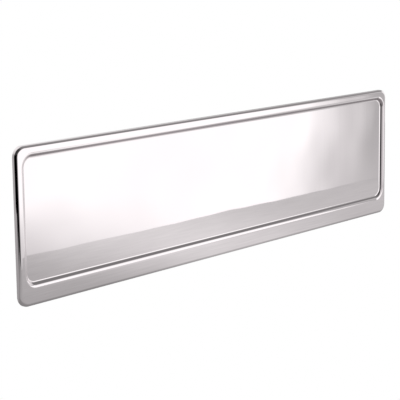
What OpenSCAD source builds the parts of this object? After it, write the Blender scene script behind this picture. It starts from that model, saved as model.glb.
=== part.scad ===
// Letter plate: a pressed cover flap, hinged along its top edge, in front of a back plate.
// Millimetres. X runs along the plate, Z is up and the front looks along -Y.
// Y = 0 is the door's face; the origin is midway between the two fixing posts.
// Depths called v are measured forwards from the door's face, so v = -Y.

/* [Cover flap] */
// Overall length of the cover
cover_w = 312; // [306:1:330]
// Overall height of the cover
cover_h = 78; // [76:0.5:82]
// Depth of the cover, front face to the rear edge of its returns
cover_d = 2.9; // [2.7:0.1:3.1]
// Thickness of the cover's sheet
sheet_t = 0.8; // [0.7:0.05:0.9]
// Radius of the cover's corners
corner_r = 5.5; // [5:0.5:8]
// Rounding of the cover's outer edge
edge_r = 1.8; // [1.5:0.1:1.8]
// Width of the border at the sides, to the middle of the step
border = 4.8; // [4.8:0.1:5.4]
// Width of the border at the top
border_top = 5.4; // [5.2:0.1:5.6]
// Width of the border at the bottom
border_bottom = 10.9; // [10:0.1:12]
// Depth of the pressed panel below the border
press_d = 1.4; // [1.1:0.1:1.4]
// Rounding where the border turns down to the panel
press_out_r = 3.8; // [3:0.1:3.8]
// Rounding where the step runs out into the panel
press_in_r = 1.4; // [1.2:0.1:1.5]
// Corner radius of the pressed step
press_corner_r = 5.5; // [5:0.1:6]

/* [Hinges] */
// Distance of each hinge from the middle of the plate
hinge_x = 95; // [80:1:105]
// Distance of the hinge axis below the cover's top edge
hinge_down = 2.8; // [2.7:0.05:2.9]
// Radius of the hinge pins
pin_r = 1.0; // [0.9:0.05:1.0]
// Radial clearance of the pins in knuckles and ears
pin_clear = 0.05; // [0.03:0.01:0.08]
// Wire diameter of the closing springs
wire_d = 0.5; // [0.4:0.05:0.5]

/* [Fixings] */
// Distance between the two fixing posts
post_pitch = 276; // [274:1:280]
// Length of the posts behind the door's face
post_len = 10; // [8:1:11]
// Outer radius of the posts
post_r = 3.5; // [3.3:0.1:3.8]
// Radius of the posts' threaded bore
thread_r = 2.1; // [2.0:0.1:2.2]

/* [Letter opening] */
// Length of the opening in the back plate
aperture_w = 250; // [240:1:252]
// Height of the opening in the back plate
aperture_h = 32; // [28:1:33]
// Depth of the liner behind the door's face
liner_len = 8; // [6:1:10]

/* [Hidden] */
$fn = 96;
eps = 0.01;

// Depths of the layers, from the door forwards.
gasket_t = 0.8;
plate_t = 1.2;
v_plate = gasket_t + plate_t;
v_returns = 3.1;
v_front = v_returns + cover_d;
v_panel = v_front - press_d;
v_panel_rear = v_panel - sheet_t;

// The pressed step: two arcs that meet at step_angle on the line of the step.
step_angle = acos(1 - press_d / (press_out_r + press_in_r));
step_out = press_out_r * sin(step_angle);
step_in = press_in_r * sin(step_angle);
step_w = cover_w - 2 * border;
step_top = cover_h / 2 - border_top;
step_bottom = -cover_h / 2 + border_bottom;
step_h = step_top - step_bottom;
step_z = (step_top + step_bottom) / 2;
lap = 0.15;
tie_in = 0.07;

hinge_v = 3.2;
hinge_z = cover_h / 2 - hinge_down;
disc_r = 1.6;
knuckle_dx = [7.2, 9.8];
washer_dx = [9.9, 10.3];
ear_dx = [10.4, 12.2];
leaf_half = 12;
leaf_t = 0.6;
leaf_z = [24.5, 32.5];
leaf_slot_z = 26;
leg_dx = 5.6;
leg_slot_half = 0.5;
head_t = 0.7;
head_r = 1.5;
clip_t = 0.45;
pin_end = 1.2;
groove_r = 0.7;
bracket_half = 17;
bracket_t = 0.9;
bracket_z = [24.4, 32];
bracket_window_z = 27;
coil_half = 6.6;

back_half_w = cover_w / 2 - 5;
back_z = [-36, 34.6];
back_r = 4;
flange_t = 1.0;
flange_v = v_panel_rear - 0.4;
flange_top = 30;
spring_slot_z = 28;

aperture_r = 4;
liner_t = 1.4;
liner_gap = 0.2;
liner_lip_t = 0.7;
liner_lip = 5;
seal_w = 2.5;
seal_gap = 0.4;
seal_v = v_panel_rear - 0.15;

rivet_r = 1.1;
rivet_clear = 0.05;
rivet_head_r = 1.8;
rivet_head_t = 0.5;
rivet_tail = 0.3;
bracket_rivet_dx = 14.6;
bracket_rivet_z = 26.8;
screw_r = 0.9;
screw_head_r = 1.7;
screw_head_t = 0.45;
screws_at = [[-127.6, -12], [127.6, -12], [-127.6, 12], [127.6, 12]];
spigot_r = 2.6;
post_head_r = 3.6;
post_head_t = 0.9;
thread_floor_v = 0.3;
buffer_r = 2.6;
buffer_gap = 0.05;
buffers_at = [[-143, -22], [143, -22], [-143, 22], [143, 22]];
gasket_out = [cover_w / 2 - 7, -34.5, 33.5];
gasket_in = [132, -24, 29];

polished = [0.86, 0.85, 0.84];
steel = [0.62, 0.63, 0.65];
zinc = [0.72, 0.72, 0.70];
black = [0.10, 0.10, 0.11];
grey_foam = [0.25, 0.25, 0.26];
nylon = [0.80, 0.79, 0.74];

// ---- drawing helpers ----

// Extrudes an outline drawn in (X, Z) between two depths.
module between(v0, v1) {
    translate([0, -v0, 0]) rotate([90, 0, 0]) linear_extrude(v1 - v0) children();
}

// Extrudes a section drawn in (Y, Z) from one X to another.
module along_x(x0, x1) {
    translate([x0, 0, 0]) rotate([90, 0, 90]) linear_extrude(x1 - x0) children();
}

// A rectangle with round corners, between two corner points.
module rounded(x0, z0, x1, z1, r) {
    translate([x0 + r, z0]) square([x1 - x0 - 2 * r, z1 - z0]);
    translate([x0, z0 + r]) square([x1 - x0, z1 - z0 - 2 * r]);
    for (x = [x0 + r, x1 - r], z = [z0 + r, z1 - r]) translate([x, z]) circle(r);
}

// A straight run of an edge section on one side of a rectangle:
// side 0 faces +X, 1 faces +Z, 2 faces -X and 3 faces -Z.
module edge_run(side, half, run) {
    rotate([0, -90 * side, 0]) translate([half, 0, -run])
        mirror([0, 1, 0]) linear_extrude(2 * run) children();
}

// The same section turned round the corner that follows that side.
module edge_corner(side, x, z, r) {
    translate([x, 0, z]) rotate([0, -90 * side, 0]) rotate([90, 0, 0])
        rotate_extrude(angle = 90) translate([r, 0]) children();
}

// A section in (u, v), u outwards, carried round a rectangle with round corners.
module edge_ring(w, h, r) {
    for (side = [0:3]) {
        across = side % 2 == 0 ? w / 2 : h / 2;
        along = side % 2 == 0 ? h / 2 - r : w / 2 - r;
        edge_run(side, across, along) children();
    }
    edge_corner(0, w / 2 - r, h / 2 - r, r) children();
    edge_corner(1, -w / 2 + r, h / 2 - r, r) children();
    edge_corner(2, -w / 2 + r, -h / 2 + r, r) children();
    edge_corner(3, w / 2 - r, -h / 2 + r, r) children();
}

// A rod along X on the hinge axis.
module on_axis(x0, x1, r) {
    translate([x0, -hinge_v, hinge_z]) rotate([0, 90, 0]) cylinder(h = x1 - x0, r = r);
}

// A rod along the depth direction.
module stud(x, z, v0, v1, r) {
    translate([x, -v0, z]) rotate([90, 0, 0]) cylinder(h = v1 - v0, r = r);
}

// Puts a hinge part at the left (-1) or right (+1) hinge; the right one is its mirror.
module at_hinge(side) {
    translate([side * hinge_x, 0, 0]) mirror([side > 0 ? 1 : 0, 0, 0]) children();
}

// ---- cover flap ----

// A bar inside the sheet that ties an arc to the next stretch of the section;
// (u, v) is on the sheet's front surface and slope is its angle there.
module tie(u, v, slope = 0) {
    translate([u, v]) rotate(slope) translate([-lap, tie_in - sheet_t])
        square([2 * lap, sheet_t - 2 * tie_in]);
}

// The outer edge: a return, a quarter round and the start of the border.
module outer_edge_section() {
    bend = v_front - edge_r;
    translate([-sheet_t, v_returns]) square([sheet_t, bend - v_returns]);
    translate([-edge_r, bend]) intersection() {
        difference() {
            circle(edge_r);
            circle(edge_r - sheet_t);
        }
        square(2 * edge_r);
    }
    translate([-edge_r - lap, v_front - sheet_t]) square([lap, sheet_t]);
    tie(-edge_r, v_front);
}

// One arc of the step, from straight up the section to step_angle.
module step_arc(r_in, r_out) {
    reach = 2 * r_out;
    intersection() {
        difference() {
            circle(r_out);
            circle(r_in);
        }
        polygon([[0, 0], [0, reach], [-reach * tan(step_angle), reach]]);
    }
}

// The pressed step, with its steepest point at u = 0.
module step_section() {
    translate([step_out, v_front - press_out_r])
        step_arc(press_out_r - sheet_t, press_out_r);
    translate([-step_in, v_panel + press_in_r])
        rotate(180) step_arc(press_in_r, press_in_r + sheet_t);
    translate([step_out, v_front - sheet_t]) square([lap, sheet_t]);
    translate([-step_in - lap, v_panel_rear]) square([lap, sheet_t]);
    tie(step_out, v_front);
    tie(0, v_panel + press_in_r * (1 - cos(step_angle)), step_angle);
    tie(-step_in, v_panel);
}

module step_outline(grow) {
    rounded(-step_w / 2 - grow, step_bottom - grow, step_w / 2 + grow, step_top + grow,
        press_corner_r + grow);
}

module cover_flap() {
    border_in = edge_r + lap / 2;
    color(polished) {
        edge_ring(cover_w, cover_h, corner_r) outer_edge_section();
        translate([0, 0, step_z]) edge_ring(step_w, step_h, press_corner_r) step_section();
        between(v_front - sheet_t, v_front) difference() {
            rounded(-cover_w / 2 + border_in, -cover_h / 2 + border_in,
                cover_w / 2 - border_in, cover_h / 2 - border_in, corner_r - border_in);
            step_outline(step_out + lap / 2);
        }
        between(v_panel_rear, v_panel) step_outline(-step_in - lap / 2);
    }
}

// ---- hinges ----

// A knuckle and its arm in (Y, Z).
module knuckle_section() {
    front = -v_panel_rear;
    rear = front + leaf_t;
    translate([-hinge_v, hinge_z]) circle(disc_r);
    polygon([[front, leaf_z[0] + 5], [rear, leaf_z[0] + 5], [rear, hinge_z - 3],
        [-hinge_v + 1.25, hinge_z - 1], [-hinge_v, hinge_z], [-hinge_v - 1, hinge_z - 1.2],
        [front + 0.1, hinge_z - 2.6], [front, hinge_z - 3.6]]);
}

module hinge_leaf(side) {
    color(steel) at_hinge(side) difference() {
        union() {
            between(v_panel_rear - leaf_t, v_panel_rear) difference() {
                translate([-leaf_half, leaf_z[0]])
                    square([2 * leaf_half, leaf_z[1] - leaf_z[0]]);
                translate([-leg_dx - leg_slot_half, leaf_slot_z])
                    square([2 * leg_slot_half, leaf_z[1]]);
            }
            for (x0 = [knuckle_dx[0], -knuckle_dx[1]])
                along_x(x0, x0 + knuckle_dx[1] - knuckle_dx[0]) knuckle_section();
        }
        on_axis(-leaf_half, leaf_half, pin_r + pin_clear);
    }
}

// A bracket's ear and its stem in (Y, Z).
module ear_section() {
    front = -v_plate - bracket_t;
    translate([-hinge_v, hinge_z]) circle(disc_r);
    polygon([[front, bracket_z[0] + 4], [-v_plate, bracket_z[0] + 4],
        [-v_plate, hinge_z - 1], [-hinge_v, hinge_z], [front, hinge_z - 2.2]]);
}

module hinge_bracket(side) {
    color(steel) at_hinge(side) difference() {
        union() {
            between(v_plate, v_plate + bracket_t) difference() {
                translate([-bracket_half, bracket_z[0]])
                    square([2 * bracket_half, bracket_z[1] - bracket_z[0]]);
                translate([-knuckle_dx[1], bracket_window_z])
                    square([2 * knuckle_dx[1], bracket_z[1]]);
            }
            for (x0 = [ear_dx[0], -ear_dx[1]])
                along_x(x0, x0 + ear_dx[1] - ear_dx[0]) ear_section();
        }
        on_axis(-bracket_half, bracket_half, pin_r + pin_clear);
        for (dx = [-1, 1]) stud(dx * bracket_rivet_dx, bracket_rivet_z, 0, v_front,
            rivet_r + rivet_clear);
    }
}

module bracket_rivets() {
    color(zinc) for (side = [-1, 1], dx = [-1, 1]) {
        x = side * hinge_x + dx * bracket_rivet_dx;
        stud(x, bracket_rivet_z, gasket_t, v_plate + bracket_t + rivet_tail, rivet_r);
        stud(x, bracket_rivet_z, gasket_t - rivet_head_t, gasket_t, rivet_head_r);
    }
}

module hinge_pin(side) {
    groove_dx = ear_dx[1] + 0.05;
    color(zinc) at_hinge(side) difference() {
        union() {
            on_axis(-ear_dx[1] - head_t, -ear_dx[1], head_r);
            on_axis(-ear_dx[1] - eps, ear_dx[1] + pin_end, pin_r);
        }
        difference() {
            on_axis(groove_dx, groove_dx + clip_t + 0.1, disc_r);
            on_axis(ear_dx[1], ear_dx[1] + 1, groove_r);
        }
    }
}

module pin_clip(side) {
    color(steel) at_hinge(side) difference() {
        on_axis(ear_dx[1] + 0.1, ear_dx[1] + 0.1 + clip_t, disc_r);
        on_axis(ear_dx[1], ear_dx[1] + 1, groove_r + 0.05);
        translate([ear_dx[1], -hinge_v - 0.5, hinge_z - 2 * disc_r])
            cube([1, 1, 2 * disc_r]);
    }
}

module hinge_washers() {
    color(nylon) for (side = [-1, 1], x0 = [washer_dx[0], -washer_dx[1]])
        at_hinge(side) difference() {
            on_axis(x0, x0 + washer_dx[1] - washer_dx[0], disc_r);
            on_axis(-bracket_half, bracket_half, pin_r + pin_clear);
        }
}

// Close-wound torsion spring: the coil as a sleeve and its two straight legs.
module closing_spring(side) {
    wire_r = wire_d / 2;
    front_leg_v = v_panel_rear - 0.3;
    rear_leg_v = hinge_v - disc_r + wire_r + 0.1;
    color(steel) at_hinge(side) {
        difference() {
            on_axis(-coil_half, coil_half, disc_r);
            on_axis(-coil_half - 1, coil_half + 1, disc_r - wire_d);
        }
        translate([-leg_dx, -front_leg_v, leaf_slot_z + 0.5])
            cylinder(h = hinge_z - 1.3 - leaf_slot_z - 0.5, r = wire_r);
        translate([leg_dx, -rear_leg_v, spring_slot_z + 0.5])
            cylinder(h = hinge_z - spring_slot_z - 0.5, r = wire_r);
    }
}

// ---- back plate and what it carries ----

module aperture_outline(grow) {
    rounded(-aperture_w / 2 - grow, -aperture_h / 2 - grow,
        aperture_w / 2 + grow, aperture_h / 2 + grow, aperture_r + grow);
}

module back_outline(grow) {
    rounded(-back_half_w - grow, back_z[0] - grow, back_half_w + grow, back_z[1] + grow,
        back_r + grow);
}

module back_plate() {
    color(steel) difference() {
        union() {
            between(gasket_t, v_plate) back_outline(0);
            between(v_plate - eps, flange_v) difference() {
                back_outline(0);
                back_outline(-flange_t);
                translate([-cover_w / 2, flange_top]) square([cover_w, cover_h]);
            }
        }
        between(0, v_front) aperture_outline(0);
        for (p = screws_at) stud(p[0], p[1], 0, v_front, screw_r + rivet_clear);
        for (side = [-1, 1]) {
            stud(side * post_pitch / 2, 0, 0, v_front, spigot_r + rivet_clear);
            for (dx = [-1, 1])
                stud(side * hinge_x + dx * bracket_rivet_dx, bracket_rivet_z, 0, v_front,
                    rivet_r + rivet_clear);
            at_hinge(side) between(0, v_front)
                translate([leg_dx - leg_slot_half, spring_slot_z])
                    square([2 * leg_slot_half, cover_h]);
        }
    }
}

module rear_gasket() {
    color(grey_foam) between(0, gasket_t) difference() {
        rounded(-gasket_out[0], gasket_out[1], gasket_out[0], gasket_out[2], back_r);
        rounded(-gasket_in[0], gasket_in[1], gasket_in[0], gasket_in[2], back_r);
        for (side = [-1, 1]) translate([side * post_pitch / 2, 0]) circle(post_r + 0.4);
    }
}

module aperture_liner() {
    color(black) difference() {
        union() {
            between(-liner_len, v_plate + liner_lip_t) aperture_outline(-liner_gap);
            between(v_plate, v_plate + liner_lip_t) aperture_outline(liner_lip);
        }
        between(-liner_len - 1, v_front) aperture_outline(-liner_gap - liner_t);
        for (p = screws_at) stud(p[0], p[1], 0, v_front, screw_r + rivet_clear);
    }
}

module liner_screws() {
    v_lip = v_plate + liner_lip_t;
    color(zinc) for (p = screws_at) {
        stud(p[0], p[1], gasket_t - 0.3, v_lip, screw_r);
        stud(p[0], p[1], v_lip, v_lip + screw_head_t, screw_head_r);
    }
}

module draught_seal() {
    color(black) between(v_plate, seal_v) difference() {
        aperture_outline(liner_lip + seal_gap + seal_w);
        aperture_outline(liner_lip + seal_gap);
        for (side = [-1, 1]) translate([side * post_pitch / 2, 0]) circle(post_head_r + 0.5);
    }
}

module flap_buffers() {
    color(black) for (p = buffers_at)
        stud(p[0], p[1], v_plate, v_panel_rear - buffer_gap, buffer_r);
}

module fixing_post(side) {
    x = side * post_pitch / 2;
    color(zinc) difference() {
        union() {
            stud(x, 0, -post_len, gasket_t, post_r);
            stud(x, 0, gasket_t - eps, v_plate + eps, spigot_r);
            stud(x, 0, v_plate, v_plate + post_head_t, post_head_r);
        }
        stud(x, 0, -post_len - 1, thread_floor_v, thread_r);
    }
}

cover_flap();
hinge_leaf(-1);  // hinge_leaf_left
hinge_leaf(1);  // hinge_leaf_right
hinge_bracket(-1);  // hinge_bracket_left
hinge_bracket(1);  // hinge_bracket_right
bracket_rivets();
hinge_pin(-1);  // hinge_pin_left
hinge_pin(1);  // hinge_pin_right
pin_clip(-1);  // pin_clip_left
pin_clip(1);  // pin_clip_right
hinge_washers();
closing_spring(-1);  // closing_spring_left
closing_spring(1);  // closing_spring_right
back_plate();
rear_gasket();
aperture_liner();
liner_screws();
draught_seal();
flap_buffers();
fixing_post(-1);  // fixing_post_left
fixing_post(1);  // fixing_post_right
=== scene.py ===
"""Letter plate: the visual model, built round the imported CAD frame."""
import math

import bmesh
import bpy
from mathutils import Matrix, Vector


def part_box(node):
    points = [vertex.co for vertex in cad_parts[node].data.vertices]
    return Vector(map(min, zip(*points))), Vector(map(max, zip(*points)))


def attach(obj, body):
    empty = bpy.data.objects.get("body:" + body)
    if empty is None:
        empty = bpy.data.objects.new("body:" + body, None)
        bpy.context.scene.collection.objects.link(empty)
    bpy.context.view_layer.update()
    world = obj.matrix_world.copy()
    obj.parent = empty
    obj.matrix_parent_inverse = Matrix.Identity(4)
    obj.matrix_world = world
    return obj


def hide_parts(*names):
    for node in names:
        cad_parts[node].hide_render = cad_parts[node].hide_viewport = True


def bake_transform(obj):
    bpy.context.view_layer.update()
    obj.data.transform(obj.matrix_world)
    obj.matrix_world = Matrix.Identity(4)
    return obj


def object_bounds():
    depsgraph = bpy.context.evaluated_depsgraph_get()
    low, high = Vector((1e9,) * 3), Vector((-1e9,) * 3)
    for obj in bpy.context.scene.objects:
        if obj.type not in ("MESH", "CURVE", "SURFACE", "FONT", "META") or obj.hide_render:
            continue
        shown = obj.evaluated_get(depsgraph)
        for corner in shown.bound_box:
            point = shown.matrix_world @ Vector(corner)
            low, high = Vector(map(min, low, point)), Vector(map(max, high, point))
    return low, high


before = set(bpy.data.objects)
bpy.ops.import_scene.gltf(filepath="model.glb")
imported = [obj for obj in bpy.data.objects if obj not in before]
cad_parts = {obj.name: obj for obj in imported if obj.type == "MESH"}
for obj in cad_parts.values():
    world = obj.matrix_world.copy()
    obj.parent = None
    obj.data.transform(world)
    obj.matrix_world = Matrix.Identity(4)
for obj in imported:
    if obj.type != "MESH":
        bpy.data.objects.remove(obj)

CAD_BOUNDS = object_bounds()
MM = 0.001
MICRON = 0.000001
TAU = 2 * math.pi

# ---- sizes, in millimetres on the door (X, Z) and in front of it (V), as in the CAD ----

# The cover: its sheet, outline and borders.
SHEET = 0.8
CORNER_R = 5.5
EDGE_R = 1.8
CUT_EDGE = 0.12
BORDER = 4.8
BORDER_TOP = 5.4
BORDER_BOTTOM = 10.9
# The pressed step: rounded at the top and left, more at the right and most at the bottom.
PRESS_DEPTH = 1.4
PRESS_CORNER_R = 5.5
PRESS_IN_R = 1.4
PRESS_OUT_R = 2.2
PRESS_OUT_RIGHT_R = 3.2
PRESS_OUT_BOTTOM_R = 3.6
# How the border eases into the step: a wide arc that turns by so many degrees on each side.
EASE_R = 12.0
EASE_TOP, EASE_BOTTOM, EASE_SIDE = 3.0, 6.0, 0.6
# Painted shade in the step, darker where steep: the slope at which it starts, below and above the
# steepest place, how much sooner it starts on two sides, the slopes it takes to build up, and how
# much lies on each side.
STEP_SHADE_START_BELOW, STEP_SHADE_START = 26, 18
STEP_SHADE_SOONER_RIGHT, STEP_SHADE_SOONER_TOP = 14, 3
STEP_SHADE_SPAN, STEP_SHADE_SPAN_RIGHT = 16, 10
STEP_SHADE_RIGHT, STEP_SHADE_TOP, STEP_SHADE_BOTTOM, STEP_SHADE_TOP_CORNER = 0.75, 0.88, 0.25, 0.9

# How finely arcs are cut up, and the steepness in degrees from which a CAD edge is softened.
CORNER_STEPS = 14
ARC_STEPS = 12
EASE_STEPS = 3
WIRE_STEPS = 8
BEVEL_STEPS = 2
BEVEL_FROM = 35

# The hinges: their pins' axis, and what lies round each one.
HINGE_X = 95
HINGE_V = 3.2
HINGE_Z = 36.2
EAR_OUT = 12.2
LEAF_Z = (24.5, 32.5)
LEAF_T = 0.6
WELD_DX = (-9.5, -2.5, 2.5, 9.5)
WELD_UP = 2.2
WELD_PROUD = 0.02
RIVET_DX = 14.6
RIVET_Z = 26.8

# The closing springs: coil, leg behind the cover, bend between the two, and leg on the plate.
COIL_TURNS = 21
COIL_R = 1.35
COIL_STEPS = 22
WIRE_R = 0.25
LEG_DX = 5.6
LEG_GAP = 0.3
LEG_TOP_DZ = -2.2
LEG_BEND = (0.9, 0.6)
LEG_FOOT_UP = 2
BACK_LEG_Z = 28.6

# What the back plate carries.
POST_X = 138
POST_LENGTH = 10
THREAD_PITCH = 0.7
THREAD_DEPTH = 0.28
THREAD_R = 2.1
SCREW_X = 127.6
SCREW_Z = 12
BUFFER_X = 143
BUFFER_Z = 22

# Depths: the back plate's two faces, the fronts of bracket and liner, and the rear of the panel.
PLATE_V = (0.8, 2.0)
BRACKET_V = 2.9
PANEL_REAR_V = 3.8
LINER_LIP_V = 2.7
# The letter opening: its width, height and corner radius, and how far outside it the seal starts.
APERTURE = (250, 32, 4)
SEAL_FROM_APERTURE = 5.4


# ---- small helpers ----

def mesh_object(name, verts, faces, smooth=True):
    """A mesh object from points in metres."""
    mesh = bpy.data.meshes.new(name)
    mesh.from_pydata([tuple(v) for v in verts], [], faces)
    mesh.validate()
    for polygon in mesh.polygons:
        polygon.use_smooth = smooth
    obj = bpy.data.objects.new(name, mesh)
    bpy.context.scene.collection.objects.link(obj)
    return obj


def front_point(x, z, v):
    """A point given by its place on the door and its depth in front of it, all in millimetres."""
    return Vector((x, -v, z)) * MM


def rounded_points(centre_z, half_w, half_h, radius):
    """Points and outward directions round a rectangle with round corners, counter-clockwise."""
    out = []
    for corner in range(4):
        sx = 1 if corner in (0, 3) else -1
        sz = 1 if corner in (0, 1) else -1
        for i in range(CORNER_STEPS + 1):
            a = (corner + i / CORNER_STEPS) * TAU / 4
            way = (math.cos(a), math.sin(a))
            x = sx * (half_w - radius) + radius * way[0]
            z = centre_z + sz * (half_h - radius) + radius * way[1]
            out.append((x, z, way))
    return out


def spaced(start, end, steps):
    """Evenly spaced values from start to end, both included."""
    return [start + (end - start) * i / steps for i in range(steps + 1)]


def bands(rows, count):
    """Faces between rows of points, each row a ring of the same count."""
    faces = []
    for i in range(rows - 1):
        a = i * count
        b = a + count
        for j in range(count):
            k = (j + 1) % count
            faces.append((a + j, a + k, b + k, b + j))
    return faces


def ends(rows, count):
    """The two faces that close a tube of rows."""
    return [tuple(range(count)), tuple(range((rows - 1) * count, rows * count))]


def swept(name, loops):
    """Joins loops of (point, normal) into one capped surface and gives it exact normals."""
    count = len(loops[0])
    verts = [p for loop in loops for p, n in loop]
    normals = [n for loop in loops for p, n in loop]
    obj = mesh_object(name, verts, bands(len(loops), count) + ends(len(loops), count))
    face_outwards(obj)
    obj.data.normals_split_custom_set_from_vertices(normals)
    return obj


def bevelled(obj, width):
    """Rounds the sharp edges of a carried-over CAD node."""
    mod = obj.modifiers.new("soft_edges", "BEVEL")
    mod.width = width * MM
    mod.segments = BEVEL_STEPS
    mod.limit_method = "ANGLE"
    mod.angle_limit = math.radians(BEVEL_FROM)
    mod.use_clamp_overlap = True
    mod.harden_normals = True
    return obj


def turned(name, outline, place, axis="Y", steps=32):
    """Turns an outline of (distance, radius) in millimetres about an axis through a point."""
    verts = []
    for d, r in outline:
        for i in range(steps):
            a = i / steps * TAU
            c = r * math.cos(a)
            s = r * math.sin(a)
            off = Vector((c, -d, s)) if axis == "Y" else Vector((d, c, s))
            verts.append(place + off * MM)
    rows = len(outline)
    obj = mesh_object(name, verts, bands(rows, steps) + ends(rows, steps))
    face_outwards(obj)
    return sharpened(obj)


def face_outwards(obj):
    """Turns every face of a closed mesh to the outside."""
    bm = bmesh.new()
    bm.from_mesh(obj.data)
    bmesh.ops.recalc_face_normals(bm, faces=bm.faces)
    bm.to_mesh(obj.data)
    bm.free()


def sharpened(obj, angle=32):
    """Keeps edges steeper than the angle crisp in the shading."""
    bm = bmesh.new()
    bm.from_mesh(obj.data)
    for edge in bm.edges:
        if len(edge.link_faces) == 2 and edge.calc_face_angle(0) > math.radians(angle):
            edge.smooth = False
    bm.to_mesh(obj.data)
    bm.free()
    return obj


def removed(obj):
    """Takes an object and its mesh out of the file."""
    mesh = obj.data
    bpy.data.objects.remove(obj)
    bpy.data.meshes.remove(mesh)


def joined(name, objs):
    """Several meshes as one piece."""
    bm = bmesh.new()
    for obj in objs:
        bm.from_mesh(obj.data)
    mesh = bpy.data.meshes.new(name)
    bm.to_mesh(mesh)
    bm.free()
    out = bpy.data.objects.new(name, mesh)
    bpy.context.scene.collection.objects.link(out)
    for obj in objs:
        removed(obj)
    return out


def carved(obj, cutter):
    """Cuts one mesh out of another and keeps the result as the piece's own mesh."""
    mod = obj.modifiers.new("cut", "BOOLEAN")
    mod.operation = "DIFFERENCE"
    mod.solver = "EXACT"
    mod.object = cutter
    graph = bpy.context.evaluated_depsgraph_get()
    mesh = bpy.data.meshes.new_from_object(obj.evaluated_get(graph))
    obj.modifiers.remove(mod)
    obj.data = mesh
    removed(cutter)
    return sharpened(obj)


# ---- materials ----

class Nodes:
    """A node tree and short ways to add to it."""

    def __init__(self, tree):
        self.tree = tree

    def add(self, kind, **values):
        """A new node, with values for its settings or, by name, for its inputs."""
        node = self.tree.nodes.new(kind)
        for key, value in values.items():
            if hasattr(node, key):
                setattr(node, key, value)
            else:
                node.inputs[key.replace("_", " ")].default_value = value
        return node

    def link(self, source, target):
        """Joins an output to an input."""
        self.tree.links.new(source, target)

    def coords(self, kind):
        """Coordinates of one kind, such as Object or Generated."""
        return self.add("ShaderNodeTexCoord").outputs[kind]

    def split(self, vector):
        """The X, Y and Z of a vector."""
        node = self.add("ShaderNodeSeparateXYZ")
        self.link(vector, node.inputs[0])
        return node.outputs

    def stretched(self, scale, vector):
        """Coordinates scaled differently along each axis."""
        node = self.add("ShaderNodeMapping", Scale=scale)
        self.link(vector, node.inputs["Vector"])
        return node.outputs["Vector"]

    def ranged(self, source, low, high, start=0.0, end=1.0, kind="LINEAR"):
        """Runs from low to high while the source runs from start to end."""
        node = self.add("ShaderNodeMapRange", interpolation_type=kind, From_Min=start,
            From_Max=end, To_Min=low, To_Max=high)
        self.link(source, node.inputs["Value"])
        return node.outputs["Result"]

    def maths(self, operation, *values):
        """Arithmetic on outputs and plain numbers."""
        node = self.add("ShaderNodeMath", operation=operation)
        for socket, value in zip(node.inputs, values):
            if isinstance(value, (int, float)):
                socket.default_value = value
            else:
                self.link(value, socket)
        return node.outputs[0]

    def mixed(self, share, first, second, kind="MIX"):
        """From one colour to another; each is an output or a triple."""
        node = self.add("ShaderNodeMix", data_type="RGBA", blend_type=kind)
        self.link(share, node.inputs["Factor"])
        for key, colour in (("A", first), ("B", second)):
            if isinstance(colour, tuple):
                node.inputs[key].default_value = (*colour, 1)
            else:
                self.link(colour, node.inputs[key])
        return node.outputs["Result"]

    def greys(self, source, stops, low, high):
        """Greys that ease through (place, grey) stops, as the source runs from 0 to 1."""
        node = self.add("ShaderNodeValToRGB")
        node.color_ramp.interpolation = "EASE"
        elements = node.color_ramp.elements
        elements.remove(elements[0])
        for i, (place, grey) in enumerate(stops):
            at = (place - low) / (high - low)
            element = elements[0] if i == 0 else elements.new(at)
            element.position = at
            element.color = (grey, grey, grey, 1)
        self.link(source, node.inputs["Fac"])
        return node.outputs["Color"]


class Shader(Nodes):
    """A material with its Principled node, and patterns in the piece's own coordinates."""

    def __init__(self, name, **values):
        self.mat = bpy.data.materials.new(name)
        self.mat.use_nodes = True
        super().__init__(self.mat.node_tree)
        self.bsdf = self.tree.nodes["Principled BSDF"]
        self.place = self.coords("Object")
        for key, value in values.items():
            self.bsdf.inputs[key.replace("_", " ")].default_value = value

    def noise(self, scale, detail=3.0, stretch=None, roughness=0.5):
        """Soft noise, drawn out along an axis whose stretch is small."""
        node = self.add("ShaderNodeTexNoise", Scale=scale, Detail=detail, Roughness=roughness)
        vector = self.stretched(stretch, self.place) if stretch else self.place
        self.link(vector, node.inputs["Vector"])
        return node.outputs["Fac"]

    def cells(self, scale, output="Distance"):
        """Cells of uneven shape, such as spangle or pores."""
        node = self.add("ShaderNodeTexVoronoi", Scale=scale)
        self.link(self.place, node.inputs["Vector"])
        return node.outputs[output]

    def bump(self, height, depth, after=None):
        """Adds relief of a given depth in metres, on top of earlier relief."""
        node = self.add("ShaderNodeBump", Strength=1.0, Distance=depth)
        self.link(height, node.inputs["Height"])
        if after is not None:
            self.link(after, node.inputs["Normal"])
        return node.outputs["Normal"]

    def tones(self, source, dark, light, low=0.3, high=0.7):
        """From a dark to a light colour while the source runs from low to high."""
        return self.mixed(self.ranged(source, 0.0, 1.0, low, high), dark, light)

    def set(self, **sources):
        """Links outputs to the Principled node's inputs, and gives the finished material."""
        for key, source in sources.items():
            self.link(source, self.bsdf.inputs[key.replace("_", " ")])
        return self.mat


def polished_steel():
    """Mirror-polished sheet: faint waves from pressing, hairlines, and painted shade in the step.
    """
    s = Shader("polished_steel", Metallic=1.0)
    waves = s.noise(22.0, 1.0)
    hairs = s.noise(60.0, 4.0, (1.0, 1.0, 0.05), 0.6)
    fine = s.noise(900.0, 2.0)
    relief = s.bump(waves, 170 * MICRON)
    relief = s.bump(hairs, 6 * MICRON, relief)
    step_shade = s.add("ShaderNodeAttribute", attribute_name="press_step_painted_shade").outputs["Fac"]
    rough = s.maths("ADD", s.ranged(hairs, 0.02, 0.05), s.ranged(fine, -0.008, 0.008))
    rough = s.maths("ADD", rough, s.maths("MULTIPLY", step_shade, 0.08))
    tint = s.tones(waves, (0.945, 0.886, 0.903), (0.985, 0.928, 0.943))
    # Painted shade: the steep part of the step is darkened in the base colour and made a little
    # rougher.
    step_shaded = s.mixed(step_shade, tint, (0.36, 0.34, 0.35), "MULTIPLY")
    return s.set(Base_Color=step_shaded, Roughness=rough, Normal=relief)


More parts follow.
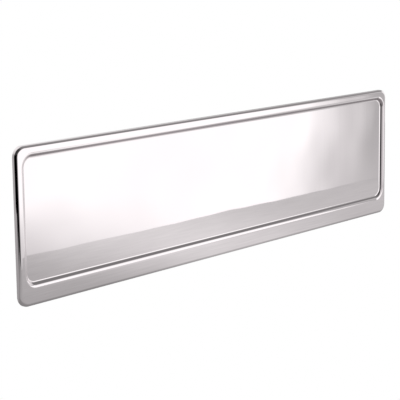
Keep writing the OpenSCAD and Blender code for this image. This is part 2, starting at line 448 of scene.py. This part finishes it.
def mill_steel():
    """The unpolished rear face of the sheet, with its rolling lines."""
    s = Shader("mill_finish_steel", Metallic=1.0)
    lines = s.noise(50.0, 5.0, (1.0, 1.0, 24.0), 0.6)
    clouds = s.noise(14.0, 3.0)
    rough = s.maths("ADD", s.ranged(lines, 0.20, 0.34), s.ranged(clouds, -0.04, 0.04))
    tint = s.tones(clouds, (0.52, 0.53, 0.54), (0.66, 0.66, 0.66))
    return s.set(Base_Color=tint, Roughness=rough, Normal=s.bump(lines, 3 * MICRON))


def zinc_steel(name, dark, light, scale=160.0):
    """Zinc-coated steel: soft spangle and small handling marks."""
    s = Shader(name, Metallic=1.0)
    spangle = s.cells(scale, output="Color")
    marks = s.noise(scale * 2.5, 5.0, (1.0, 1.0, 0.35), 0.65)
    clouds = s.noise(scale * 0.2, 3.0)
    shade = s.maths("ADD", s.maths("MULTIPLY", spangle, 0.35), s.maths("MULTIPLY", clouds, 0.65))
    rough = s.maths("ADD", s.ranged(shade, 0.24, 0.42), s.ranged(marks, -0.05, 0.05))
    return s.set(Base_Color=s.tones(shade, dark, light), Roughness=rough,
        Normal=s.bump(marks, 8 * MICRON))


def turned_metal(name, base, stretch):
    """Machined metal with tool rings along one axis."""
    s = Shader(name, Metallic=1.0)
    rings = s.noise(1.0, 3.0, stretch, 0.6)
    spots = s.noise(700.0, 3.0)
    dark = tuple(0.72 * c for c in base)
    return s.set(Base_Color=s.tones(spots, dark, base, 0.25, 0.6),
        Roughness=s.ranged(rings, 0.18, 0.36), Normal=s.bump(rings, 10 * MICRON))


def moulded_plastic():
    """Black moulded plastic with a fine eroded texture."""
    s = Shader("black_plastic", Metallic=0.0)
    grain = s.noise(1600.0, 3.0)
    flow = s.noise(40.0, 3.0, (0.3, 1.0, 1.0))
    return s.set(Base_Color=s.tones(flow, (0.010, 0.010, 0.011), (0.020, 0.020, 0.021)),
        Roughness=s.ranged(grain, 0.38, 0.58), Normal=s.bump(grain, 20 * MICRON))


def rubber():
    """Matt black rubber with a bloom of dust."""
    s = Shader("black_rubber", Metallic=0.0)
    grain = s.noise(1200.0, 4.0)
    bloom = s.noise(90.0, 4.0)
    return s.set(Base_Color=s.tones(bloom, (0.012, 0.012, 0.012), (0.040, 0.039, 0.038)),
        Roughness=s.ranged(grain, 0.62, 0.85), Normal=s.bump(grain, 30 * MICRON))


def foam():
    """Closed-cell gasket foam: open pores on the cut faces."""
    s = Shader("gasket_foam", Metallic=0.0)
    pores = s.cells(1100.0)
    coarse = s.cells(420.0)
    mix = s.maths("ADD", s.maths("MULTIPLY", pores, 0.7), s.maths("MULTIPLY", coarse, 0.5))
    return s.set(Base_Color=s.tones(mix, (0.014, 0.014, 0.015), (0.060, 0.060, 0.062), 0.1, 0.7),
        Roughness=s.ranged(mix, 0.98, 0.86), Normal=s.bump(mix, 180 * MICRON))


def nylon():
    """Natural nylon, slightly see-through."""
    s = Shader("natural_nylon", Metallic=0.0, Subsurface_Weight=0.2, Subsurface_Scale=0.001)
    clouds = s.noise(500.0, 3.0)
    return s.set(Base_Color=s.tones(clouds, (0.62, 0.60, 0.52), (0.78, 0.76, 0.70)),
        Roughness=s.ranged(clouds, 0.35, 0.5), Normal=s.bump(clouds, 10 * MICRON))


def painted(obj, material):
    """Gives a piece one material in every slot."""
    if not obj.material_slots:
        obj.data.materials.append(material)
    for slot in obj.material_slots:
        slot.material = material
    return obj


# ---- the cover flap ----

def facing(way):
    """How much a way outwards points right, up and down, each from 0 to 1."""
    return [max(0.0, part) ** 2 for part in (way[0], way[1], -way[1])]


def press_rounding(way):
    """The rounding above the step and the easing into it, for one way outwards."""
    right, up, down = facing(way)
    radius = PRESS_OUT_R + (PRESS_OUT_RIGHT_R - PRESS_OUT_R) * right
    radius += (PRESS_OUT_BOTTOM_R - PRESS_OUT_R) * down
    ease = EASE_SIDE + (EASE_TOP - EASE_SIDE) * up + (EASE_BOTTOM - EASE_SIDE) * down
    return radius, math.radians(ease)


def arc_rows(side, on_step, centre, radius, slopes):
    """Rows of the section along an arc; a hollow one has a negative radius."""
    rows = []
    for slope in slopes:
        n = (-math.sin(slope), math.cos(slope))
        offset = centre[0] + radius * n[0]
        depth = centre[1] + radius * n[1]
        rows.append((on_step, offset, depth, (side * n[0], side * n[1])))
    return rows


def cover_section(v_front, v_rear, press_out_r, ease):
    """The front face, cut edge and rear face: rows of (on the step?, offset, depth, normal).

    Offsets are outwards from the cover's outline, or from the line of the step where it is
    steepest. From the border the step eases in, rounds over, and ends in a hollow at the panel.
    """
    bend = v_front - EDGE_R
    v_panel = v_front - PRESS_DEPTH
    drop = press_out_r * math.cos(ease) + EASE_R * (1 - math.cos(ease)) + PRESS_IN_R - PRESS_DEPTH
    steepest = math.acos(drop / (press_out_r + PRESS_IN_R))
    out = press_out_r * (math.sin(steepest) - math.sin(ease)) + EASE_R * math.sin(ease)
    nearer = (EASE_R - press_out_r) * math.sin(ease)
    lower = EASE_R - (EASE_R - press_out_r) * math.cos(ease)
    edge_centre = (-EDGE_R, bend)
    ease_centre = (out, v_front - EASE_R)
    out_centre = (out - nearer, v_front - lower)
    in_centre = (-PRESS_IN_R * math.sin(steepest), v_panel + PRESS_IN_R)
    edge_slopes = spaced(-TAU / 4, 0, ARC_STEPS)[1:]
    ease_slopes = spaced(0, ease, EASE_STEPS)[:-1]
    out_slopes = spaced(ease, steepest, ARC_STEPS)
    in_slopes = spaced(steepest, 0, ARC_STEPS)[1:]

    def face(side):
        """The front face for side 1, or the rear face, a sheet's thickness inside it, for -1."""
        inside = SHEET * (1 - side) / 2
        rows = [(False, -inside, v_rear + CUT_EDGE, (side, 0)), (False, -inside, bend, (side, 0))]
        rows += arc_rows(side, False, edge_centre, EDGE_R - inside, edge_slopes)
        rows += arc_rows(side, True, ease_centre, EASE_R - inside, ease_slopes)
        rows += arc_rows(side, True, out_centre, press_out_r - inside, out_slopes)
        return rows + arc_rows(side, True, in_centre, -PRESS_IN_R - inside, in_slopes)

    half = math.sqrt(0.5)
    bulge = CUT_EDGE * (1 - half)
    lip = [(False, -bulge, v_rear + bulge, (half, -half)),
        (False, -CUT_EDGE, v_rear, (0, -1)), (False, CUT_EDGE - SHEET, v_rear, (0, -1)),
        (False, bulge - SHEET, v_rear + bulge, (-half, -half))]
    return face(1)[::-1], lip, face(-1)


def press_step_shade(offset, normal, way):
    """How much painted shade darkens one place of the step, from 0 to 1: more where steep."""
    right, up, down = facing(way)
    top_corner = max(0.0, way[0] * way[1])
    slope = math.degrees(math.atan2(abs(normal[0]), normal[1]))
    start = STEP_SHADE_START - STEP_SHADE_SOONER_RIGHT * right - STEP_SHADE_SOONER_TOP * up
    if offset < 0:
        start = STEP_SHADE_START_BELOW
    span = STEP_SHADE_SPAN + (STEP_SHADE_SPAN_RIGHT - STEP_SHADE_SPAN) * right
    steep = min(1.0, max(0.0, (slope - start) / span))
    share = STEP_SHADE_RIGHT * right + STEP_SHADE_TOP * up + STEP_SHADE_BOTTOM * down
    return steep * min(1.0, share + STEP_SHADE_TOP_CORNER * top_corner)


def cover_loops(cover, press, v_front, v_rear):
    """The section carried round the cover and its pressed step, point by point."""
    ways = [way for x, z, way in rounded_points(0, 1, 1, 0)]
    columns = []
    for index, way in enumerate(ways):
        front, lip, rear = cover_section(v_front, v_rear, *press_rounding(way))
        column = []
        for on_step, offset, depth, normal in front + lip + rear:
            centre_z, half_w, half_h, radius = press if on_step else cover
            points = rounded_points(centre_z, half_w + offset, half_h + offset, radius + offset)
            x, z, _ = points[index]
            n = Vector((normal[0] * way[0], -normal[1], normal[0] * way[1]))
            # Painted shade on the steep front face of the step, more on some sides than on others.
            step_shade = press_step_shade(offset, normal, way) if on_step and normal[1] > 0 else 0.0
            column.append((front_point(x, z, depth), n, step_shade))
        columns.append(column)
    return [list(loop) for loop in zip(*columns)], len(front) + len(lip)


def pressed_cover(polish, mill):
    """The cover as one pressed sheet: returns, rolled edge, border, step and panel."""
    low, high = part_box("cover_flap")
    half_w = (high[0] - low[0]) / 2 / MM
    half_h = (high[2] - low[2]) / 2 / MM
    step_top = half_h - BORDER_TOP
    step_bottom = BORDER_BOTTOM - half_h
    cover = (0, half_w, half_h, CORNER_R)
    press = ((step_top + step_bottom) / 2, half_w - BORDER, (step_top - step_bottom) / 2,
        PRESS_CORNER_R)
    loops, rear_from = cover_loops(cover, press, -low[1] / MM, -high[1] / MM)
    obj = swept("cover_pressing", [[(p, n) for p, n, _ in loop] for loop in loops])
    # The step's painted shade, kept on the points for the steel's material.
    amount = obj.data.attributes.new("press_step_painted_shade", "FLOAT", "POINT")
    amount.data.foreach_set("value", [step_shade for loop in loops for _, _, step_shade in loop])
    obj.data.materials.append(polish)
    obj.data.materials.append(mill)
    first_rear_vertex = rear_from * len(loops[0])
    for polygon in obj.data.polygons:
        polygon.material_index = 1 if min(polygon.vertices) >= first_rear_vertex else 0
    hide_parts("cover_flap")
    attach(obj, "flap")


# ---- hinges ----

def hinge_point(side, dx, dv=0.0, dz=0.0):
    """A point near one hinge; dx is mirrored on the right-hand one."""
    return front_point(side * HINGE_X - side * dx, HINGE_Z + dz, HINGE_V + dv)


def wire(name, path):
    """A round wire along a list of points."""
    loops = []
    side = None
    for i, p in enumerate(path):
        ahead = path[min(i + 1, len(path) - 1)] - path[max(i - 1, 0)]
        ahead.normalize()
        if side is None:
            side = ahead.orthogonal().normalized()
        side = (side - ahead * side.dot(ahead)).normalized()
        other = ahead.cross(side)
        loop = []
        for j in range(WIRE_STEPS):
            a = j / WIRE_STEPS * TAU
            n = side * math.cos(a) + other * math.sin(a)
            loop.append((p + n * WIRE_R * MM, n))
        loops.append(loop)
    return swept(name, loops)


def curve_between(start, start_way, end, end_way):
    """Points of a smooth bend between two ends, without the end points."""
    out = []
    for t in spaced(0, 1, WIRE_STEPS)[1:-1]:
        a = start + start_way * t
        b = end - end_way * (1 - t)
        w = t * t * (3 - 2 * t)
        out.append(a * (1 - w) + b * w)
    return out


def closing_spring(side, name, steel):
    """Close-wound torsion spring: the coil on the pin, one leg on each half of the hinge."""
    first = -TAU / 6
    last = (COIL_TURNS + 0.5) * TAU
    steps = round((last - first) / TAU * COIL_STEPS)
    leg_v = PANEL_REAR_V - LEG_GAP - HINGE_V
    leg_foot = LEAF_Z[0] + LEG_FOOT_UP - HINGE_Z
    leg_top = hinge_point(side, -LEG_DX, leg_v, LEG_TOP_DZ)
    coil = []
    for a, dx in zip(spaced(first, last, steps), spaced(-LEG_DX, LEG_DX, steps)):
        coil.append(hinge_point(side, dx, COIL_R * math.cos(a), COIL_R * math.sin(a)))
    up = Vector((0, 0, LEG_BEND[0])) * MM
    along = (coil[1] - coil[0]).normalized() * LEG_BEND[1] * MM
    path = [hinge_point(side, -LEG_DX, leg_v, leg_foot), leg_top]
    path += curve_between(leg_top, up, coil[0], along) + coil
    path.append(hinge_point(side, LEG_DX, -COIL_R, BACK_LEG_Z - HINGE_Z))
    obj = painted(wire(name, path), steel)
    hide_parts(name)
    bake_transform(obj)


def hinge_pin(side, name, steel):
    """Headed pin with a rounded tip and the groove for its clip."""
    outline = [(-EAR_OUT - 0.7, 0.9), (-EAR_OUT - 0.62, 1.2), (-EAR_OUT - 0.4, 1.44),
        (-EAR_OUT - 0.15, 1.5), (-EAR_OUT - 0.01, 1.46), (-EAR_OUT, 1.4), (-EAR_OUT, 1.0),
        (EAR_OUT + 0.05, 1.0), (EAR_OUT + 0.07, 0.7), (EAR_OUT + 0.58, 0.7),
        (EAR_OUT + 0.6, 1.0), (EAR_OUT + 1.0, 0.98), (EAR_OUT + 1.15, 0.85),
        (EAR_OUT + 1.2, 0.65)]
    outline = [(-side * d, r) for d, r in outline]
    obj = painted(turned(name, outline, hinge_point(side, 0), "X", 28), steel)
    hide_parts(name)
    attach(obj, "chassis")


def spot_welds(side, name, steel):
    """The shallow dimples where a leaf is welded to the cover."""
    marks = []
    outline = [(0.0, 1.3), (-0.05, 1.28), (-0.08, 1.1), (-0.05, 0.8), (-0.04, 0.3),
        (-0.04, 0.02)]
    leaf_rear = PANEL_REAR_V - LEAF_T - WELD_PROUD - HINGE_V
    for dx in WELD_DX:
        place = hinge_point(side, dx, leaf_rear, LEAF_Z[0] + WELD_UP - HINGE_Z)
        marks.append(turned("weld", outline, place, "Y", 20))
    obj = painted(joined(name, marks), steel)
    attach(obj, "flap")


# ---- back plate and what it carries ----

def bracket_rivets(metal):
    """Domed rear heads, shanks, and tails upset over the brackets."""
    seat = PLATE_V[0]
    tail = BRACKET_V
    outline = [(seat - 0.5, 0.9), (seat - 0.47, 1.25), (seat - 0.38, 1.6), (seat - 0.2, 1.78),
        (seat - 0.02, 1.8), (seat, 1.76), (seat, 1.1), (tail, 1.1), (tail, 1.42),
        (tail + 0.1, 1.46), (tail + 0.22, 1.3), (tail + 0.28, 1.0), (tail + 0.3, 0.6)]
    rivets = []
    for side in (-1, 1):
        for dx in (-RIVET_DX, RIVET_DX):
            place = front_point(side * HINGE_X + dx, RIVET_Z, 0)
            rivets.append(turned("rivet", outline, place))
    obj = painted(joined("bracket_rivets", rivets), metal)
    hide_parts("bracket_rivets")
    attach(obj, "chassis")


def cross_cutter(place, width, reach, v0, v1):
    """A cross-shaped punch that narrows towards its tip, for the recess of a screw."""
    loops = []
    for v, scale in ((v0, 0.55), (v1, 1.0)):
        w = width * scale / 2
        r = reach * scale
        corners = [(r, -w), (r, w), (w, w), (w, r), (-w, r), (-w, w), (-r, w), (-r, -w),
            (-w, -w), (-w, -r), (w, -r), (w, -w)]
        loops.append([place + front_point(x, z, v) for x, z in corners])
    count = len(loops[0])
    faces = bands(len(loops), count) + ends(len(loops), count)
    obj = mesh_object("cutter", loops[0] + loops[1], faces, False)
    face_outwards(obj)
    return obj


def liner_screws(metal):
    """Pan-head screws with cross recesses, through the liner's lip."""
    lip = LINER_LIP_V
    outline = [(0.5, 0.6), (0.6, 0.9), (lip, 0.9), (lip, 1.66), (lip + 0.03, 1.7),
        (lip + 0.15, 1.68), (lip + 0.3, 1.5), (lip + 0.4, 1.15), (lip + 0.44, 0.8),
        (lip + 0.45, 0.4)]
    screws = []
    for x in (-SCREW_X, SCREW_X):
        for z in (-SCREW_Z, SCREW_Z):
            place = front_point(x, z, 0)
            head = turned("screw", outline, place, "Y", 30)
            screws.append(carved(head, cross_cutter(place, 0.42, 1.05, lip + 0.1, lip + 0.6)))
    obj = painted(joined("liner_screws", screws), metal)
    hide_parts("liner_screws")
    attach(obj, "chassis")


def fixing_post(side, name, metal):
    """Riveted post with a threaded bore, open at the rear end."""
    rear = -POST_LENGTH
    floor = 0.3
    seat, plate_front = PLATE_V
    cap = plate_front + 0.9
    outside = [(cap, 0.6), (cap, 3.3), (cap - 0.04, 3.45), (cap - 0.2, 3.57), (cap - 0.4, 3.6),
        (plate_front, 3.6), (plate_front, 2.6), (seat, 2.6), (seat, 3.4), (seat - 0.1, 3.5),
        (rear + 0.4, 3.5), (rear, 3.1), (rear, 2.3)]
    steps = 40
    cuts = 100
    run_out = 8
    rows = [[(d, r)] * steps for d, r in outside]
    for i, d in enumerate(spaced(rear + 0.2, floor - 0.6, cuts)):
        fade = min(1.0, i / run_out, (cuts - i) / run_out)
        row = []
        for j in range(steps):
            phase = (d / THREAD_PITCH + j / steps) % 1
            row.append((d, THREAD_R - THREAD_DEPTH * fade * (1 - abs(2 * phase - 1))))
        rows.append(row)
    rows += [[(floor - 0.2, 1.9)] * steps, [(floor, 0.4)] * steps]
    verts = []
    for row in rows:
        for j, (d, r) in enumerate(row):
            a = j / steps * TAU
            verts.append(front_point(side * POST_X + r * math.cos(a), r * math.sin(a), d))
    obj = mesh_object(name, verts, bands(len(rows), steps) + ends(len(rows), steps))
    face_outwards(obj)
    painted(sharpened(obj, 40), metal)
    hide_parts(name)
    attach(obj, "chassis")


def draught_seal(material):
    """Rubber strip round the opening: a flat foot and two soft lips."""
    foot = PLATE_V[1]
    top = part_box("draught_seal")[0][1] / -MM
    section = [(0.0, foot), (2.5, foot), (2.5, foot + 0.45), (2.25, foot + 0.55), (2.3, top - 0.25),
        (2.05, top), (1.8, top - 0.2), (1.7, foot + 0.7), (1.25, foot + 0.5), (0.8, foot + 0.7),
        (0.7, top - 0.2), (0.45, top), (0.2, top - 0.25), (0.25, foot + 0.55), (0.0, foot + 0.45)]
    width, height, radius = APERTURE
    verts = []
    for u, v in section:
        grow = SEAL_FROM_APERTURE + u
        for x, z, _ in rounded_points(0, width / 2 + grow, height / 2 + grow, radius + grow):
            verts.append(front_point(x, z, v))
    per_row = 4 * (CORNER_STEPS + 1)
    faces = []
    for i in range(len(section)):
        n = (i + 1) % len(section)
        for j in range(per_row):
            k = (j + 1) % per_row
            faces.append((i * per_row + j, i * per_row + k, n * per_row + k, n * per_row + j))
    obj = mesh_object("draught_seal", verts, faces)
    face_outwards(obj)
    painted(sharpened(obj, 50), material)
    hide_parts("draught_seal")
    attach(obj, "chassis")


def flap_buffers(material):
    """Rubber buttons with a rolled rim that the closed cover rests on."""
    foot = PLATE_V[1]
    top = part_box("flap_buffers")[0][1] / -MM
    outline = [(foot, 2.2), (foot + 0.02, 2.5), (foot + 0.15, 2.6), (foot + 0.9, 2.6),
        (top - 0.45, 2.55), (top - 0.2, 2.35), (top - 0.05, 1.95), (top, 1.5), (top - 0.04, 1.1),
        (top - 0.15, 0.85), (top - 0.18, 0.4)]
    buttons = []
    for x in (-BUFFER_X, BUFFER_X):
        for z in (-BUFFER_Z, BUFFER_Z):
            buttons.append(turned("button", outline, front_point(x, z, 0)))
    obj = painted(joined("flap_buffers", buttons), material)
    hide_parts("flap_buffers")
    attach(obj, "chassis")


def carried_over(materials):
    """CAD nodes that keep their own mesh, with softened edges and a finish."""
    for name, (material, width) in materials.items():
        painted(bevelled(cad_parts[name], width), material)


# ---- stage ----

PLATE_FACE = -6.0 * MM
CAMERA_AT = Vector((-0.6060, PLATE_FACE - 0.5008, 0.1340))
CAMERA_TO = Vector((-0.0247, PLATE_FACE, -0.0052))
CAMERA_ROLL = -0.75
CAMERA_LENS = 130
CAMERA_SENSOR = 36
CAMERA_CLIP = 0.01

# The white floor: how far below the plate (in millimetres), and how far it and the dome reach.
FLOOR_GAP = 0.4
FLOOR_REACH = 3.0
DOME_RADIUS = 6.0


def set_camera():
    """The camera of the photograph: from the left, a little above, and slightly rolled."""
    data = bpy.data.cameras.new("camera")
    data.lens = CAMERA_LENS
    data.sensor_width = CAMERA_SENSOR
    data.clip_start = CAMERA_CLIP
    cam = bpy.data.objects.new("camera", data)
    bpy.context.scene.collection.objects.link(cam)
    ahead = (CAMERA_TO - CAMERA_AT).normalized()
    right = ahead.cross(Vector((0, 0, 1))).normalized()
    up = right.cross(ahead)
    cos_roll = math.cos(math.radians(CAMERA_ROLL))
    sin_roll = math.sin(math.radians(CAMERA_ROLL))
    axes = (right * cos_roll + up * sin_roll, up * cos_roll - right * sin_roll, -ahead, CAMERA_AT)
    rows = [[axis[i] for axis in axes] for i in range(3)]
    cam.matrix_world = Matrix((*rows, (0, 0, 0, 1)))
    bpy.context.scene.camera = cam


def glow(name):
    """A plain white light-emitting material, its nodes and its light."""
    mat = bpy.data.materials.new(name)
    mat.use_nodes = True
    mat.node_tree.nodes.clear()
    nodes = Nodes(mat.node_tree)
    out = nodes.add("ShaderNodeOutputMaterial")
    light = nodes.add("ShaderNodeEmission", Strength=1.0)
    nodes.link(light.outputs[0], out.inputs["Surface"])
    return mat, nodes, light


def seen_by(obj, camera, glossy):
    """Whether the camera and the polished surfaces see a stage object; it casts no shadow."""
    obj.visible_camera = camera
    obj.visible_glossy = glossy
    obj.visible_diffuse = False
    obj.visible_transmission = False
    obj.visible_shadow = False


def set_backdrop():
    """A plain white floor and a white surround."""
    low = CAD_BOUNDS[0][2] - FLOOR_GAP * MM
    ways = ((-1, -1), (1, -1), (1, 1), (-1, 1))
    corners = [(x * FLOOR_REACH, y * FLOOR_REACH, low) for x, y in ways]
    floor = mesh_object("floor", corners, [(0, 1, 2, 3)], False)
    bm = bmesh.new()
    bmesh.ops.create_uvsphere(bm, u_segments=48, v_segments=24, radius=DOME_RADIUS)
    mesh = bpy.data.meshes.new("surround")
    bm.to_mesh(mesh)
    bm.free()
    surround = bpy.data.objects.new("surround", mesh)
    bpy.context.scene.collection.objects.link(surround)
    white = glow("white_backdrop")[0]
    for obj in (floor, surround):
        painted(obj, white)
        seen_by(obj, True, False)


# Painted light on the glowing table top: its brightness along X, in metres, in front of the plate
# and behind it.
TABLE_TONES = ((-0.36, 0.02), (-0.12, 0.43), (0.01, 0.72), (0.16, 0.55), (0.40, 0.42))
TABLE_BEHIND_TONES = ((-0.30, 0.38), (-0.10, 0.30))
# The near edge of the table, a gentle wave: along X, and in front of the plate.
TABLE_EDGE = ((-0.40, 0.086), (-0.07, 0.084), (0.0, 0.080), (0.08, 0.080), (0.18, 0.076),
    (0.60, 0.077))
TABLE_LEFT, TABLE_RIGHT = -0.40, 0.60
TABLE_BACK = 0.60
# Shade that the plate throws on the table: from how far, to how near, and how deep.
TABLE_SHADES = ((30 * MM, 2 * MM, 0.06), (4 * MM, 0.5 * MM, 0.38))
TABLE_GRAIN = (9.0, 130.0, 1.0)
TABLE_MOTTLE = 0.12


def table_card(name, near, far_y, tones, shades):
    """A glowing strip of the table, as the polished steel sees it, with painted light along it and
    the plate's shades on it.
    """
    z = CAD_BOUNDS[0][2] - FLOOR_GAP * MM / 2
    count = len(near)
    edges = [(x, y, z) for x, y in near] + [(x, far_y, z) for x, _ in near]
    faces = [(i, i + 1, i + 1 + count, i + count) for i in range(count - 1)]
    card = mesh_object(name, edges, faces, False)
    mat, nodes, light = glow(name)
    place = nodes.coords("Object")
    x, y, _ = nodes.split(place)
    along = nodes.ranged(x, 0, 1, TABLE_LEFT, TABLE_RIGHT)
    nodes.link(nodes.greys(along, tones, TABLE_LEFT, TABLE_RIGHT), light.inputs["Color"])
    grain = nodes.add("ShaderNodeTexNoise")
    nodes.link(nodes.stretched(TABLE_GRAIN, place), grain.inputs["Vector"])
    strength = nodes.ranged(grain.outputs["Fac"], 1 - TABLE_MOTTLE, 1 + TABLE_MOTTLE)
    for far, close, depth in shades:
        shade = nodes.ranged(y, 1, 1 - depth, PLATE_FACE - far, PLATE_FACE - close)
        strength = nodes.maths("MULTIPLY", strength, shade)
    nodes.link(strength, light.inputs["Strength"])
    painted(card, mat)
    seen_by(card, False, True)


def set_table():
    """The table in front of the plate and behind it, which only the steel sees."""
    near = [(x, PLATE_FACE - reach) for x, reach in TABLE_EDGE]
    table_card("table_front", near, 0, TABLE_TONES, TABLE_SHADES)
    table_card("table_behind", [(TABLE_LEFT, 0), (TABLE_RIGHT, 0)], TABLE_BACK,
        TABLE_BEHIND_TONES, ())


# Greys of the studio round the plate, by compass angle in degrees from the front (-Y) towards +X:
# to the left and right of the soft edge where the pale card in front ends, and that edge itself.
LEFT_TONES = ((-180, 0.85), (-142, 0.36), (-120, 0.34), (-114, 0.0), (-30, 0.0), (-12, 0.40),
    (4, 0.98))
RIGHT_TONES = ((57.2, 0.36), (58.5, 0.62), (70, 0.85), (92, 0.98), (100, 0.35), (128, 0.35),
    (140, 0.80), (180, 0.85))
CARD_EDGE = ((54.3, 0.98), (55.4, 0.40))
# The edge is wider and starts further left low down, and leans left at the horizon. Heights are
# angles in degrees too.
LOW_CARD_EDGE = ((52.2, 0.98), (55.6, 0.50))
LOW_RISE = (-9.6, -7.2)
HORIZON_LEAN = 1.1
HORIZON_CARD_EDGE = tuple((a - HORIZON_LEAN, grey) for a, grey in CARD_EDGE)
HORIZON_RISE = (-6.5, -2.0)
# The same well above the horizon, where a dark gap lies to the right.
UPPER_TONES = ((-180, 0.8), (-130, 0.6), (-100, 0.04), (-22, 0.04), (54, 0.20), (104, 0.28),
    (122, 0.70), (180, 0.8))
UPPER_RISE = (15, 28)
# The pale card darkens towards its lower left corner, between two heights and two turns.
FADE_RISE = (-12.8, -9.8)
FADE_TURN = (41.5, 50.5)
FADE_DEPTH = 0.41
STUDIO_POWER = 1.12


def set_world():
    """Soft studio light, as a surround of pale cards and dark gaps."""
    world = bpy.data.worlds.new("studio")
    bpy.context.scene.world = world
    world.use_nodes = True
    background = world.node_tree.nodes["Background"]
    nodes = Nodes(world.node_tree)
    x, y, z = nodes.split(nodes.coords("Generated"))
    compass = nodes.maths("ARCTAN2", x, nodes.maths("MULTIPLY", y, -1.0))
    turn = nodes.ranged(compass, 0, 1, -math.pi, math.pi)

    def tones(stops):
        return nodes.greys(turn, stops, -180, 180)

    def risen(first, last, heights):
        """A value that eases from first to last between two heights, the lower one first."""
        low, high = (math.sin(math.radians(a)) for a in heights)
        return nodes.ranged(z, first, last, low, high, "SMOOTHSTEP")

    level, low, horizon = (tones(LEFT_TONES + edge + RIGHT_TONES)
        for edge in (CARD_EDGE, LOW_CARD_EDGE, HORIZON_CARD_EDGE))
    near_level = nodes.mixed(risen(1, 0, LOW_RISE), level, low)
    to_horizon = nodes.mixed(risen(0, 1, HORIZON_RISE), near_level, horizon)
    everywhere = nodes.mixed(risen(0, 1, UPPER_RISE), to_horizon, tones(UPPER_TONES))
    nodes.link(everywhere, background.inputs["Color"])
    left, right = (math.radians(a) for a in FADE_TURN)
    leftwards = nodes.ranged(compass, FADE_DEPTH, 0, left, right, "SMOOTHSTEP")
    fade = nodes.maths("MULTIPLY", risen(1, 0, FADE_RISE), leftwards)
    nodes.link(nodes.ranged(fade, STUDIO_POWER, 0.0), background.inputs["Strength"])


def set_stage():
    """Camera, white surround, table and light."""
    bpy.context.scene.view_settings.view_transform = "Standard"
    set_camera()
    set_backdrop()
    set_table()
    set_world()


# ---- the whole ----

def build():
    """Every piece with its finish, then the stage."""
    polish = polished_steel()
    mill = mill_steel()
    zinc = zinc_steel("zinc_coated_steel", (0.46, 0.47, 0.48), (0.70, 0.71, 0.72))
    hinge = zinc_steel("hinge_steel", (0.38, 0.38, 0.39), (0.60, 0.60, 0.61), 420.0)
    spring = turned_metal("spring_steel", (0.42, 0.42, 0.44), (3000.0, 3000.0, 400.0))
    pin = turned_metal("pin_steel", (0.62, 0.62, 0.63), (5000.0, 300.0, 300.0))
    post = turned_metal("post_zinc", (0.66, 0.66, 0.64), (300.0, 5000.0, 300.0))
    rivet = turned_metal("rivet_zinc", (0.58, 0.58, 0.57), (900.0, 1400.0, 900.0))
    plastic = moulded_plastic()
    black = rubber()
    pressed_cover(polish, mill)
    for side, word in ((-1, "left"), (1, "right")):
        closing_spring(side, "closing_spring_" + word, spring)
        hinge_pin(side, "hinge_pin_" + word, pin)
        spot_welds(side, "spot_welds_" + word, hinge)
        fixing_post(side, "fixing_post_" + word, post)
    bracket_rivets(rivet)
    liner_screws(rivet)
    draught_seal(black)
    flap_buffers(black)
    carried_over({
        "back_plate": (zinc, 0.2), "rear_gasket": (foam(), 0.15), "aperture_liner": (plastic, 0.25),
        "hinge_leaf_left": (hinge, 0.08), "hinge_leaf_right": (hinge, 0.08),
        "hinge_bracket_left": (hinge, 0.1), "hinge_bracket_right": (hinge, 0.1),
        "pin_clip_left": (spring, 0.05), "pin_clip_right": (spring, 0.05),
        "hinge_washers": (nylon(), 0.05)})
    set_stage()


build()
